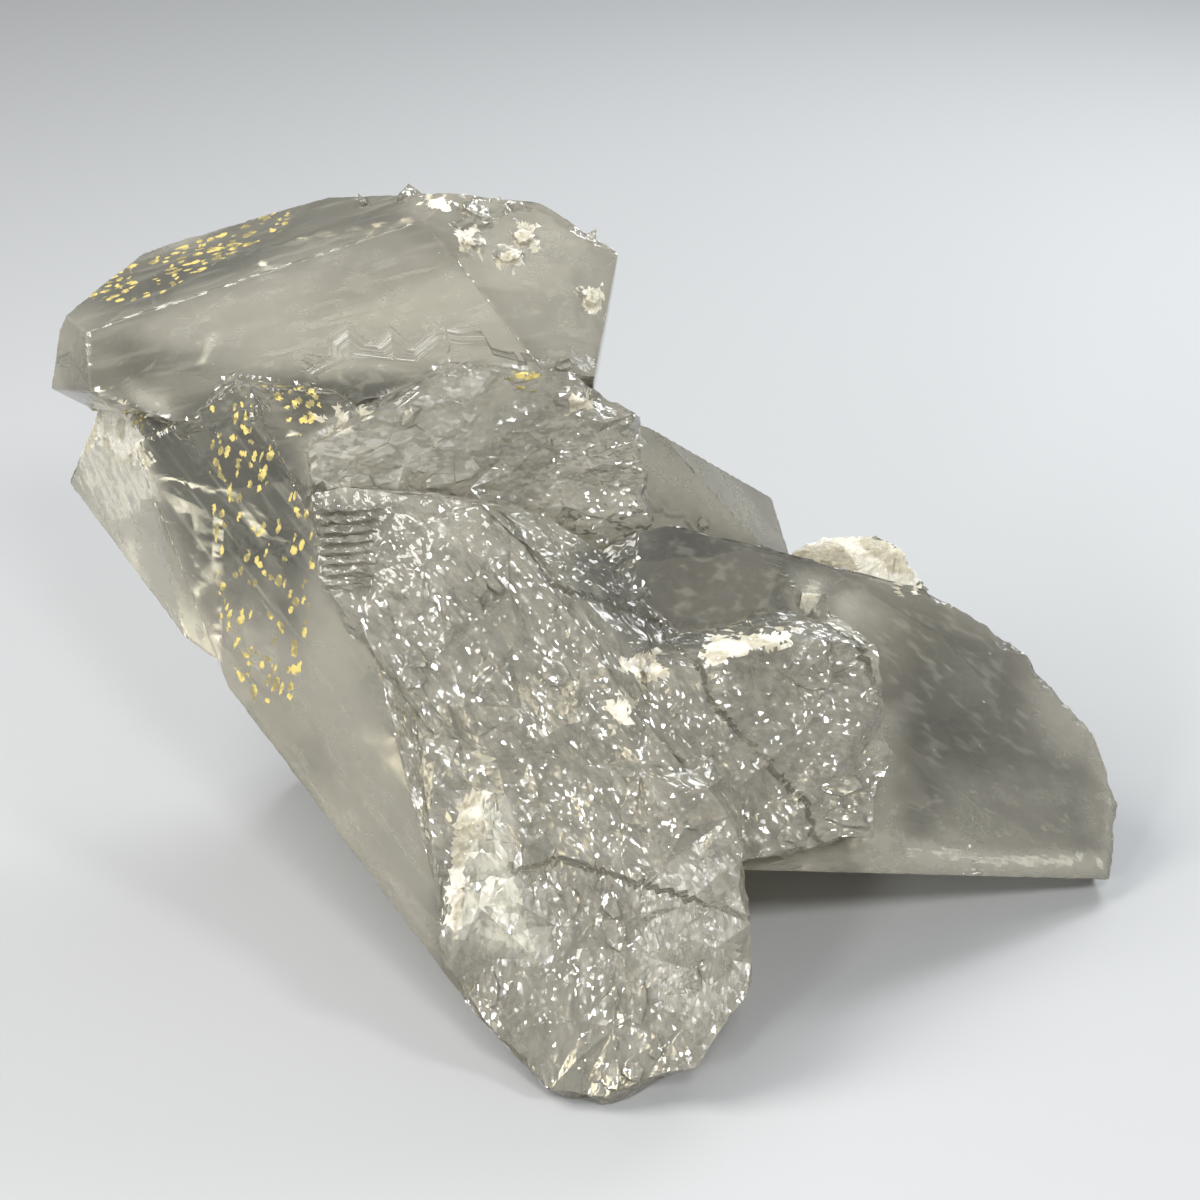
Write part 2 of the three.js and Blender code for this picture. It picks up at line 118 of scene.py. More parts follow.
CRUSTED = [
    ([(98, 396), (124, 407), (150, 462), (120, 462), (100, 440), (76, 456), (72, 440)], 1.0),
    ([(464, 796), (492, 797), (466, 866), (462, 905), (456, 935), (446, 926), (452, 880), (456, 830)], 1.0),
    ([(702, 655), (706, 646), (714, 637), (745, 638), (788, 630), (790, 640), (748, 653), (706, 667)], 1.0),
    ([(623, 668), (636, 650), (656, 654), (668, 676), (640, 679)], 1.0),
    ([(608, 712), (618, 696), (632, 702), (628, 720), (610, 722)], 1.0),
    ([(788, 540), (850, 532), (885, 538), (905, 552), (925, 578), (915, 592), (840, 575), (796, 562)], 1.0),
    ([(312, 420), (350, 402), (380, 410), (330, 440)], 0.3),
    ([(424, 194), (446, 194), (446, 208), (426, 208)], 0.8),
    ([(571, 394), (587, 394), (587, 411), (571, 411)], 0.9),
    ([(461, 232), (481, 232), (481, 252), (461, 252)], 0.85),
    ([(500, 246), (521, 246), (521, 266), (500, 266)], 0.85),
    ([(517, 224), (536, 224), (536, 244), (517, 244)], 0.85),
    ([(583, 289), (601, 289), (601, 309), (583, 309)], 0.85),
]
# Painted shade: where the colour is darkened for the shadow under the upper crystal and for dark
# surroundings seen in the clear faces
SHADE_ZONES = [
    ([(126, 404), (247, 374), (318, 500), (300, 640), (215, 600), (158, 500)], 1.0),
    ([(247, 372), (425, 384), (400, 412), (300, 440)], 0.95),
    ([(558, 556), (662, 512), (800, 550), (830, 590), (780, 635), (700, 650), (650, 665), (605, 615)], 0.8),
    ([(800, 550), (1000, 640), (1080, 760), (1098, 850), (905, 836), (905, 620)], 0.75),
    ([(70, 305), (172, 255), (330, 190), (405, 180), (400, 226), (145, 312)], 0.75),
    ([(130, 345), (250, 345), (250, 375), (172, 415), (130, 410)], 0.6),
    ([(320, 505), (400, 500), (395, 540), (330, 535)], 0.6),
]
# Where the bright specks, which are partly painted glints, are thick
SPARKLY = [
    ([(880, 600), (1010, 640), (1020, 780), (905, 800), (885, 700)], 0.75),
    ([(640, 690), (740, 700), (740, 790), (650, 790)], 0.9),
    ([(718, 728), (762, 728), (762, 768), (718, 768)], 1.0),
    ([(400, 500), (560, 500), (560, 600), (400, 600)], 0.8),
    ([(380, 200), (540, 220), (560, 360), (420, 370)], 0.5),
    ([(625, 430), (690, 470), (760, 535), (640, 480)], 0.5),
    ([(150, 520), (210, 560), (330, 760), (420, 900), (380, 890), (200, 690)], 0.45),
    ([(330, 560), (400, 640), (430, 760), (380, 760), (320, 640)], 0.3),
    ([(320, 410), (500, 375), (640, 410), (760, 540), (600, 550), (480, 490), (330, 480)], 0.55),
]
# These have a third number, the slant of the flecks in the photograph, in degrees
FLECKED = [
    ([(76, 305), (112, 262), (172, 250), (245, 222), (288, 208), (292, 226), (236, 252), (150, 300)],
     0.9, 12),
    ([(205, 402), (240, 388), (300, 470), (318, 560), (296, 700), (262, 730), (222, 640)], 0.42, 72),
    ([(262, 384), (318, 388), (322, 412), (300, 436), (272, 410)], 0.85, 35),
    ([(500, 372), (545, 372), (548, 398), (505, 396)], 0.45, 10),
    ([(122, 408), (140, 408), (152, 440), (134, 436)], 0.5, 70),
]
ZONE_DEPTH = 7.0  # how far the skin of a zone may lie from the flat face in its middle, millimetres
ZONE_MARGIN = 8.0  # how far round a zone the mesh is finer, millimetres
MILK_FADE = 2.0  # how softly the paint of a zone ends, millimetres
SHADE_FADE = 3.0
SPARK_FADE = 3.0
CRUST_FADE = 1.0

# Sizes of the skin's mesh, millimetres
GLASSY_AREA = 60.0  # a flat face larger than this is glassy, and one smaller is frosted
FLAT_ANGLE = 1.2  # faces that turn by less than this, in degrees, are one flat face
ARRIS_ANGLE = 22.0  # an edge that turns by more than this is an arris
FOOT_HEIGHT = 0.001  # corners lower than this lie on the flat cut foot
FACING = -0.15  # a face whose cosine with the camera's direction is above this may show in the photograph
CALM_STEP = 6.0  # longest edges: on calm faces, arrises, flecks, crust, milky quartz and hidden rough skin
ARRIS_STEP = 1.0
FLECK_STEP = 0.5
CRUST_STEP = 0.85
MILK_STEP = 1.7
HIDDEN_STEP = 2.2
STEP_GROWTH = 0.85  # how fast the mesh coarsens away from a fleck

# Plates, flecks and wear
PLATE_STRETCH = 2.2  # length of a plate along the grain, against its width
FINE_PLATES = 0.42  # size of the fine plates, against the broad ones
PLATE_STEP = 0.45  # rise between plates, against their slope
PLATE_SEED = 5
CELL_SHIFT = 4096  # keeps the numbers of cells above zero
GRAIN_SIDE = (0.2, -1.0, 0.4)  # the side of a crystal is square to its axis and to this
FLECK_CELL = np.array([1.9, 1.25])  # millimetres along and across the fleck
FLECK_REACH = (0.12, 0.5)  # smallest and largest half length and half width, in cells
FLECK_CORNER = 1.45  # cuts the corners of a block, 1 to a diamond and 2 not at all
FLECK_CLUSTER = 5.0  # size of a bunch of flecks, millimetres
FLECK_BUNCHING = 0.8  # 0 spreads the flecks evenly, and more bunches them
FLECK_SEED = 60
CRUMB_CELL = 1.3  # width of a crumb of crust, millimetres
CRUMB_SLOPE = 0.3
CRUMB_RISE = 0.15  # millimetres
CRUST_SEED = 75
CLOUD_CELL = 2.2  # width of a crumb of milky quartz, millimetres
MILK_LEVEL = 0.55  # a zone is opaque only above this amount
MILK_SEED = 130
OPAQUE_SPREAD = 0.8  # below 1, the middle of a full zone has no gaps
FROST_SPARK = 0.4  # the least painted sparkle of frosted skin, where 1 is the painted sparkle of a full zone
WEAR_CELL = 1.3  # length over which the wear of an arris stays the same, millimetres
WEAR_LEAST = 0.35  # an arris wears from this share of the set depth up to 1 more than this
WEAR_SEED = 90

# The fine relief in the glass: cells per millimetre across the grain, with slope and rise in bump heights
FACET_SCALE = 1.9
FACET_SLOPE = 0.6
FACET_STEP = 0.1
WAVER_SCALE = 0.16
WAVER_SLOPE = 0.4

# Quartz in the shaders
QUARTZ_IOR = 1.544
GLOW_SPREAD = (1.0, 0.95, 0.85)  # how far red, green and blue light spread, against each other
CLOUDS_PER_METRE = 55.0
MOTTLES_PER_MM = 0.5
THREADS_PER_MM = (0.09, 0.7, 0.7)  # along and across the grain
GLINT_SPECKS_PER_MM = 1.1
GLINT_SPECK_SHARE = 0.14  # about the share of places with a bright speck, partly a painted glint, where the painted sparkle is full
GLASS_DULLNESS = 0.04  # the roughness of a glassy face, and below what frost and milk add to it
FROST_DULLNESS = 0.07
MILK_DULLNESS = 0.3

# The stage, millimetres
FLOOR_SIZE = 6000.0
FLOOR_GAP = 0.1
FLOOR_ROUGHNESS = 0.8
SKY_COLOUR = (0.78, 0.82, 0.86, 1)
LIGHT_TARGET = (0, 0, 40)
KEY_AT = (-380, -60, 500)
KEY_SIZE = 330
KEY_TINT = (1, 0.98, 0.94)
RIM_AT = (220, 330, 330)
RIM_SIZE = 240
RIM_TINT = (0.95, 0.98, 1)
SPARK_LIGHTS = [(60, -380, 380), (330, -290, 330), (-190, -450, 240)]  # off what the broad faces mirror
SPARK_SIZE = 70
BOUNCES = 5


def unit(vector):
    """The vector at length 1."""
    vector = np.asarray(vector, float)
    return vector / np.maximum(np.linalg.norm(vector, axis=-1, keepdims=True), 1e-12)


# The camera's own axes: the way it looks, its right and its up
LOOKING = unit(LOOK_AT - CAMERA_AT)
RIGHT = unit(np.cross(LOOKING, (0, 0, 1)))
UP = np.cross(RIGHT, LOOKING)


def photo_pixels(places):
    """Where places, in millimetres, fall in the photograph: their arms across and up, over their depth."""
    arms = places - CAMERA_AT
    depth = arms @ LOOKING
    across = FOCAL_PIXELS * (arms @ RIGHT) / depth
    upward = FOCAL_PIXELS * (arms @ UP) / depth
    return np.stack([PHOTO_SIZE / 2 + across, PHOTO_SIZE / 2 - upward], 1)


def photo_ray(pixel):
    """The direction from the camera through a pixel of the photograph."""
    across = (pixel[0] - PHOTO_SIZE / 2) / FOCAL_PIXELS
    upward = (PHOTO_SIZE / 2 - pixel[1]) / FOCAL_PIXELS
    return unit(LOOKING + across * RIGHT + upward * UP)


def smooth(values, low, high):
    """0 below low, 1 above high, and an S-curve between."""
    share = np.clip((values - low) / (high - low), 0, 1)
    return share * share * (3 - 2 * share)


def outside_by(pixels, outline):
    """How far each pixel is outside an outline, negative inside: its nearest side, and its crossings."""
    corners = np.array(outline, float)
    inside = np.zeros(len(pixels), bool)
    nearest = np.full(len(pixels), np.inf)
    for start, end in zip(corners, np.roll(corners, -1, 0)):
        side = end - start
        arms = pixels - start
        share = np.clip(arms @ side / (side @ side), 0, 1)
        nearest = np.minimum(nearest, np.linalg.norm(arms - share[:, None] * side, axis=1))
        spans = (start[1] > pixels[:, 1]) != (end[1] > pixels[:, 1])
        crossing = start[0] + side[0] * (pixels[:, 1] - start[1]) / (side[1] or 1e-9)
        inside ^= spans & (pixels[:, 0] < crossing)
    return np.where(inside, -nearest, nearest)


def scrambled(cells, seed):
    """Three repeatable random numbers from 0 to 1 for each cell: its whole numbers multiplied and mixed."""
    cells = cells.astype(np.uint64)
    keys = (cells * np.array([73856093, 19349663, 83492791], np.uint64)[: cells.shape[1]]).sum(1)
    keys = keys + np.uint64(seed * 2654435761 % 2**32)
    keys = keys[:, None] + np.array([11, 277, 7919], np.uint64)
    for shift, factor in ((15, 2246822519), (13, 3266489917)):
        keys = keys & np.uint64(0xFFFFFFFF)
        keys = (keys ^ (keys >> np.uint64(shift))) * np.uint64(factor)
    keys = keys & np.uint64(0xFFFFFFFF)
    return ((keys ^ (keys >> np.uint64(16))) & np.uint64(0xFFFFFFFF)) / 2.0**32


def nearest_seats(places, seed):
    """For each place, in cells: the arm from the nearest seat, one scattered in each cell, and its cell."""
    home = np.floor(places).astype(np.int64)
    axes = places.shape[1]
    gap = np.full(len(places), np.inf)
    arms = np.zeros(places.shape)
    cells = np.zeros(places.shape, np.int64)
    for shift in itertools.product((-1, 0, 1), repeat=axes):
        cell = home + np.array(shift)
        arm = places - (cell + scrambled(cell + CELL_SHIFT, seed)[:, :axes])
        length = (arm**2).sum(1)
        closer = length < gap
        gap[closer] = length[closer]
        arms[closer] = arm[closer]
        cells[closer] = cell[closer]
    return arms, cells + CELL_SHIFT


def tilted_plates(places, seed, slope, step):
    """Height of a skin of flat plates: each is the plane through its seat, with its own tilt and rise."""
    arms, cells = nearest_seats(places, seed)
    tilts = (scrambled(cells, seed + 1) - 0.5) * 2 * slope
    rises = (scrambled(cells, seed + 2)[:, 0] - 0.5) * step
    return (arms * tilts).sum(1) + rises


def grain_places(places):
    """Each place along and across the axis of its crystal: turned by the axes of the nearest listed one."""
    seats = np.array([seat for seat, _ in GRAINS], float)
    gaps = ((places[:, None, :] - seats[None]) ** 2).sum(2)
    nearest = gaps.argmin(1)
    along = unit([axis for _, axis in GRAINS])
    side = unit(np.cross(along, GRAIN_SIDE))
    third = np.cross(along, side)
    turned = [np.einsum("ij,ij->i", places, axes[nearest]) for axes in (along, side, third)]
    return np.stack(turned, 1)


class Skin:
    """A closed skin of triangles in millimetres, and for each triangle the flat face that it came from."""

    def __init__(self, mesh):
        """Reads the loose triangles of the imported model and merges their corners."""
        corners = np.zeros(len(mesh.vertices) * 3, np.float32)
        mesh.vertices.foreach_get("co", corners)
        mesh.calc_loop_triangles()
        faces = np.zeros(len(mesh.loop_triangles) * 3, np.int32)
        mesh.loop_triangles.foreach_get("vertices", faces)
        rounded = np.round(corners.reshape(-1, 3) / MM, 4)
        self.points, merged = np.unique(rounded, axis=0, return_inverse=True)
        self.points = self.points.astype(float)
        self.faces = merged.reshape(-1)[faces].reshape(-1, 3)
        sides = self.faces != np.roll(self.faces, 1, 1)
        self.faces = self.faces[sides.all(1)]
        self.patch = self.flat_faces()

    def normals(self):
        """The normal of each triangle at twice its area: the cross product of two sides."""
        a, b, c = (self.points[self.faces[:, i]] for i in range(3))
        return np.cross(b - a, c - a)

    def middles(self):
        """The middle of each triangle."""
        return self.points[self.faces].mean(1)

    def edges(self):
        """The edges as pairs of corners, and the edge of each side of each triangle."""
        sides = np.sort(self.faces[:, [[0, 1], [1, 2], [2, 0]]].reshape(-1, 2), 1)
        keys = sides[:, 0].astype(np.int64) * len(self.points) + sides[:, 1]
        unique, which = np.unique(keys, return_inverse=True)
        return np.stack([unique // len(self.points), unique % len(self.points)], 1), which.reshape(-1, 3)

    def neighbours(self):
        """The two triangles on each edge, and their shared corners."""
        pairs, which = self.edges()
        owner = np.repeat(np.arange(len(self.faces)), 3)
        order = np.argsort(which.reshape(-1), kind="stable")
        return owner[order].reshape(-1, 2), pairs

    def flat_faces(self):
        """A number for each flat face: triangles that lie in one plane pass the lowest number round."""
        normals = unit(self.normals())
        sides, _ = self.neighbours()
        turn = (normals[sides[:, 0]] * normals[sides[:, 1]]).sum(1)
        level = sides[turn > np.cos(np.radians(FLAT_ANGLE))]
        number = np.arange(len(self.faces))
        while True:
            lowest = number.copy()
            np.minimum.at(lowest, level[:, 0], number[level[:, 1]])
            np.minimum.at(lowest, level[:, 1], number[level[:, 0]])
            lowest = lowest[lowest]
            if (lowest == number).all():
                return number
            number = lowest

    def patch_areas(self):
        """The area of the flat face that each triangle lies in."""
        areas = np.linalg.norm(self.normals(), axis=1) / 2
        return np.bincount(self.patch, areas)[self.patch]

    def refine(self, longest):
        """Halves each edge longer than its triangles may have, until none is, with shared new corners."""
        while True:
            pairs, which = self.edges()
            allowed = np.full(len(pairs), np.inf)
            np.minimum.at(allowed, which, longest(self)[:, None].repeat(3, 1))
            lengths = np.linalg.norm(self.points[pairs[:, 0]] - self.points[pairs[:, 1]], axis=1)
            long = lengths > allowed
            if not long.any():
                return
            new = np.full(len(pairs), -1)
            new[long] = len(self.points) + np.arange(long.sum())
            self.points = np.concatenate([self.points, self.points[pairs[long]].mean(1)])
            self.part(new[which])

    def part(self, halves):
        """Parts each triangle at the new corners of its sides: into two, three or four."""
        count = (halves >= 0).sum(1)
        ones = (count == 1) | (count == 2)
        for _ in range(2):
            turn = ones & ((halves[:, 0] < 0) | (halves[:, 2] >= 0))
            self.faces[turn] = np.roll(self.faces[turn], -1, 1)
            halves[turn] = np.roll(halves[turn], -1, 1)
        a, b, c = self.faces.T
        ab, bc, ca = halves.T
        made = [(count == 0, (a, b, c))]
        made += [(count == 1, t) for t in ((a, ab, c), (ab, b, c))]
        made += [(count == 2, t) for t in ((a, ab, c), (ab, bc, c), (ab, b, bc))]
        made += [(count == 3, t) for t in ((a, ab, ca), (ab, b, bc), (ca, bc, c), (ab, bc, ca))]
        self.faces = np.concatenate([np.stack(t, 1)[chosen] for chosen, t in made])
        self.patch = np.concatenate([self.patch[chosen] for chosen, _ in made])


def zone_planes(mesh_tree, zones):
    """For each zone its outline, amount, and the place and normal of the skin in its middle."""
    found = []
    for outline, amount, *slant in zones:
        ray = photo_ray(np.mean(outline, 0))
        place, normal, _, _ = mesh_tree.ray_cast(Vector(CAMERA_AT), Vector(ray))
        if place is None:
            raise ValueError(f"the middle of the zone {outline} misses the cluster")
        found.append((outline, amount, np.array(place), np.array(normal), *slant))
    return found


def zone_gaps(places, pixels, zone):
    """How far each place is from a zone, in millimetres, negative inside its outline and near its plane."""
    outline, _, middle, normal = zone[:4]
    corners = np.array(outline, float)
    margin = ZONE_MARGIN / PIXEL
    off_plane = np.abs((places - middle) @ normal) - ZONE_DEPTH
    boxed = (pixels > corners.min(0) - margin).all(1) & (pixels < corners.max(0) + margin).all(1)
    near = np.flatnonzero(boxed & (off_plane < ZONE_MARGIN))
    gaps = np.full(len(places), ZONE_MARGIN)
    gaps[near] = np.maximum(off_plane[near], outside_by(pixels[near], outline) * PIXEL)
    return gaps


def painted(places, zones, soft):
    """The most that any zone gives a place, fading out over soft millimetres at its outline."""
    pixels = photo_pixels(places)
    paint = np.zeros(len(places))
    for zone in zones:
        share = 1 - smooth(zone_gaps(places, pixels, zone), -soft, soft)
        paint = np.maximum(paint, zone[1] * share)
    return paint


def fleck_gaps(places, pixels, zones):
    """How far each place is from a golden fleck, in millimetres: blocks with cut corners, round seats."""
    gaps = np.full(len(places), ZONE_MARGIN)
    for number, zone in enumerate(zones):
        _, amount, middle, normal, slant = zone
        to_zone = zone_gaps(places, pixels, zone)
        near = np.flatnonzero(to_zone < 0)
        ray = unit(middle - CAMERA_AT)
        lie = np.cos(np.radians(slant)) * RIGHT + np.sin(np.radians(slant)) * UP
        along = unit(lie - (lie @ normal) / (ray @ normal) * ray)
        flat = np.stack([places[near] @ along, places[near] @ np.cross(normal, along)], 1)
        seed = FLECK_SEED + 5 * number
        arms, cells = nearest_seats(flat / FLECK_CELL, seed)
        chance = scrambled(cells, seed + 1)
        reach = FLECK_REACH[0] + (FLECK_REACH[1] - FLECK_REACH[0]) * chance[:, 1:]
        share = np.abs(arms) / reach
        outside = np.maximum(share.max(1), share.sum(1) / FLECK_CORNER) - 1
        _, clusters = nearest_seats(flat / FLECK_CLUSTER, seed + 2)
        wanted = chance[:, 0] < amount * 2 * scrambled(clusters, seed + 3)[:, 0] ** FLECK_BUNCHING
        to_fleck = np.where(wanted, outside * (reach * FLECK_CELL).min(1), FLECK_CELL[0])
        gaps = np.minimum(gaps, np.maximum(to_zone, 0) + FLECK_CELL[0])
        gaps[near] = np.minimum(gaps[near], to_fleck)
    return gaps


def grown_skin(settings):
    """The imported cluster's skin, refined where it is rough, worn, flecked or crusted, with its zones."""
    skin = Skin(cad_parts[NODE].data)
    tree = BVHTree.FromPolygons(skin.points.tolist(), skin.faces.tolist())
    lists = {"milk_and_rim_light": MILKY_AND_RIM_LIGHT, "crust": CRUSTED, "dark": SHADE_ZONES, "spark": SPARKLY, "fleck": FLECKED}
    zones = {name: zone_planes(tree, outlines) for name, outlines in lists.items()}
    glassy_patch = np.zeros(skin.patch.max() + 1, bool)
    glassy_patch[skin.patch] = skin.patch_areas() > GLASSY_AREA
    foot = np.zeros(skin.patch.max() + 1, bool)
    on_foot = (skin.points[skin.faces][:, :, 2] < FOOT_HEIGHT).all(1)
    foot[skin.patch[on_foot]] = True

    def arris_corners(made):
        """True at the corners of sharp edges that a glassy face ends at."""
        sides, pairs = made.neighbours()
        normals = unit(made.normals())
        turn = (normals[sides[:, 0]] * normals[sides[:, 1]]).sum(1)
        split = made.patch[sides[:, 0]] != made.patch[sides[:, 1]]
        sharp = split & (turn < np.cos(np.radians(ARRIS_ANGLE))) & glassy_patch[made.patch[sides]].any(1)
        corners = np.zeros(len(made.points), bool)
        corners[pairs[sharp].reshape(-1)] = True
        return corners

    def longest(made):
        """The longest edge that each triangle may have."""
        middles = made.middles()
        seen = unit(CAMERA_AT - middles)
        facing = (unit(made.normals()) * seen).sum(1) > FACING
        rough = np.where(facing, settings.rough_step / MM, HIDDEN_STEP)
        steps = np.where(glassy_patch[made.patch], CALM_STEP, rough)
        steps[foot[made.patch]] = CALM_STEP
        worn = arris_corners(made)[made.faces].any(1) & ~foot[made.patch]
        steps[worn] = np.minimum(steps[worn], np.where(facing[worn], ARRIS_STEP, HIDDEN_STEP))
        pixels = photo_pixels(middles)
        gaps = np.maximum(fleck_gaps(middles, pixels, zones["fleck"]), 0)
        steps = np.minimum(steps, FLECK_STEP + STEP_GROWTH * gaps)
        solid = [(zone, CRUST_STEP) for zone in zones["crust"]]
        solid += [(zone, MILK_STEP) for zone in zones["milk_and_rim_light"] if zone[1] > MILK_LEVEL]
        for zone, step in solid:
            gaps = np.maximum(zone_gaps(middles, pixels, zone), 0)
            steps = np.minimum(steps, step + STEP_GROWTH * gaps)
        return steps

    skin.refine(longest)
    return skin, zones, glassy_patch, foot, arris_corners(skin)


def stepped(skin, moving, crust, settings):
    """Moves rough corners along their normals by two sizes of tilted plates, drawn out along the grain."""
    normals = np.zeros_like(skin.points)
    flat = skin.normals()
    for corner in range(3):
        np.add.at(normals, skin.faces[:, corner], flat)
    normals = unit(normals)
    rough, crumbly = np.flatnonzero(moving), np.flatnonzero(crust)
    grain = grain_places(skin.points[rough])
    rise = np.zeros(len(skin.points))
    for number, size in enumerate((settings.plate_size, settings.plate_size * FINE_PLATES)):
        cells = grain / (np.array([PLATE_STRETCH, 1, 1]) * size / MM)
        slope = settings.plate_slope * size / MM
        plates = tilted_plates(cells, PLATE_SEED + 10 * number, slope, slope * PLATE_STEP)
        rise[rough] += plates * moving[rough]
    cells = skin.points[crumbly] / CRUMB_CELL
    rise[crumbly] += tilted_plates(cells, CRUST_SEED, CRUMB_SLOPE * CRUMB_CELL, CRUMB_RISE) * crust[crumbly]
    skin.points += normals * rise[:, None]
    return normals


def opaque_on(middles, zones, cell, seed, level):
    """True for triangles in whole crumbs of a size, where the zone gives more than level and the chance."""
    wanted = painted(middles, zones, cell) - level
    near = np.flatnonzero(wanted > 0)
    _, cells = nearest_seats(middles[near] / cell, seed)
    opaque = np.zeros(len(middles), bool)
    opaque[near] = scrambled(cells, seed + 1)[:, 0] * (1 - level) * OPAQUE_SPREAD < wanted[near]
    return opaque


def add_paint(mesh, name, values):
    """Puts a value for each corner into the mesh as an attribute."""
    kind = "FLOAT_VECTOR" if values.ndim == 2 else "FLOAT"
    field = "vector" if values.ndim == 2 else "value"
    mesh.attributes.new(name, kind, "POINT").data.foreach_set(field, values.astype(np.float32).reshape(-1))


def dressed_mesh(settings):
    """The finished mesh: plates on the rough skin, worn arrises, and its paint as attributes."""
    skin, zones, glassy_patch, foot, worn = grown_skin(settings)
    glassy = glassy_patch[skin.patch]
    frost = np.ones(len(skin.points))
    frost[skin.faces[glassy].reshape(-1)] = 0
    on_foot = np.zeros(len(skin.points), bool)
    on_foot[skin.faces[foot[skin.patch]].reshape(-1)] = True
    grain = grain_places(skin.points)
    paint = {
        "milk_and_rim_light": painted(skin.points, zones["milk_and_rim_light"], MILK_FADE),
        "dark": painted(skin.points, zones["dark"], SHADE_FADE),
        "frost": frost,
        "spark": np.maximum(painted(skin.points, zones["spark"], SPARK_FADE), frost * FROST_SPARK),
        "arris": worn.astype(float),
    }
    middles = skin.middles()
    flecks = fleck_gaps(middles, photo_pixels(middles), zones["fleck"]) < 0
    crusted = opaque_on(middles, zones["crust"], CRUMB_CELL, CRUST_SEED, 0.0)
    clouded = opaque_on(middles, zones["milk_and_rim_light"], CLOUD_CELL, MILK_SEED, MILK_LEVEL)
    crust = np.where(on_foot, 0, painted(skin.points, zones["crust"], CRUST_FADE))
    normals = stepped(skin, np.where(on_foot, 0, frost), crust, settings)
    chance = scrambled(np.floor(grain / WEAR_CELL).astype(np.int64) + CELL_SHIFT, WEAR_SEED)[:, 0]
    wear = settings.arris_wear / MM * (WEAR_LEAST + chance) * (worn & ~on_foot)
    skin.points -= normals * wear[:, None]
    skin.points[:, 2] = np.maximum(skin.points[:, 2], 0)
    mesh = bpy.data.meshes.new("quartz crystals")
    mesh.from_pydata(skin.points * MM, [], skin.faces)
    for name, values in paint.items():
        add_paint(mesh, name, values)
    add_paint(mesh, "grain", grain)
    slots = np.where(flecks, 1, np.where(crusted, 2, np.where(clouded, 3, 0)))
    mesh.polygons.foreach_set("material_index", slots.astype(np.int32))
    mesh.update()
    return mesh


class Nodes:
    """Short ways to place and join shader nodes in one tree."""

    def __init__(self, tree):
        self.tree = tree

    def add(self, kind, **values):
        """A new node; values name its own settings or, failing that, its inputs."""
        node = self.tree.nodes.new(kind)
        for name, value in values.items():
            if hasattr(node, name):
                setattr(node, name, value)
            else:
                self.put(node.inputs[name.replace("_", " ")], value)
        return node

    def put(self, socket, value):
        """Joins another node's output to a socket, or gives the socket a plain value."""
        if isinstance(value, bpy.types.NodeSocket):
            self.tree.links.new(value, socket)
        else:
            socket.default_value = value

    def sum(self, kind, *values):
        """One step of arithmetic."""
        node = self.add("ShaderNodeMath", operation=kind)
        for socket, value in zip(node.inputs, values):
            self.put(socket, value)
        return node.outputs[0]

    def vector(self, kind, *values, out=0):
        """One step of vector arithmetic."""
        node = self.add("ShaderNodeVectorMath", operation=kind)
        for socket, value in zip(node.inputs, values):
            self.put(socket, value)
        return node.outputs[out]

    def ramp(self, value, low, high, bottom=0.0, top=1.0):
        """Takes a value from between low and high to between bottom and top, along an S-curve."""
        node = self.add("ShaderNodeMapRange", interpolation_type="SMOOTHSTEP")
        names = ("Value", "From Min", "From Max", "To Min", "To Max")
        for name, given in zip(names, (value, low, high, bottom, top)):
            self.put(node.inputs[name], given)
        return node.outputs["Result"]

    def mix(self, share, below, above):
        """Two colours mixed by a share."""
        node = self.add("ShaderNodeMix", data_type="RGBA")
        kinds = {"Factor": "VALUE", "A": "RGBA", "B": "RGBA"}
        for (name, kind), given in zip(kinds.items(), (share, below, above)):
            self.put(next(s for s in node.inputs if s.name == name and s.type == kind), given)
        return next(s for s in node.outputs if s.type == "RGBA")

    def attribute(self, name, out="Fac"):
        """The skin's own paint."""
        return self.add("ShaderNodeAttribute", attribute_name=name).outputs[out]


def group(name, inputs, outputs):
    """An empty shader group with named sockets, and its input and output nodes."""
    tree = bpy.data.node_groups.new(name, "ShaderNodeTree")
    kinds = {"value": "NodeSocketFloat", "vector": "NodeSocketVector", "colour": "NodeSocketColor"}
    for label, kind in inputs:
        tree.interface.new_socket(label, in_out="INPUT", socket_type=kinds[kind])
    for label, kind in outputs:
        tree.interface.new_socket(label, in_out="OUTPUT", socket_type=kinds[kind])
    make = Nodes(tree)
    return make, make.add("NodeGroupInput").outputs, make.add("NodeGroupOutput").inputs


def plates_group():
    """Flat plates with their own tilts and rises: height of the plane through the nearest Voronoi seat."""
    make, given, out = group(
        "Crystal plates", [("Place", "vector"), ("Scale", "value"), ("Slope", "value"), ("Step", "value")],
        [("Height", "value")],
    )
    cells = make.add("ShaderNodeTexVoronoi", feature="F1", Vector=given["Place"], Scale=given["Scale"])
    scaled = make.vector("SCALE", given["Place"])
    make.put(scaled.node.inputs["Scale"], given["Scale"])
    seat = make.vector("SCALE", cells.outputs["Position"])
    make.put(seat.node.inputs["Scale"], given["Scale"])
    arm = make.vector("SUBTRACT", scaled, seat)
    tilt = make.vector("SUBTRACT", cells.outputs["Color"], (0.5, 0.5, 0.5))
    slope = make.sum("MULTIPLY", make.vector("DOT_PRODUCT", arm, tilt, out=1), given["Slope"])
    rise = make.add("ShaderNodeSeparateColor", Color=cells.outputs["Color"]).outputs["Green"]
    make.put(out["Height"], make.sum("ADD", slope, make.sum("MULTIPLY", rise, given["Step"])))
    return make.tree


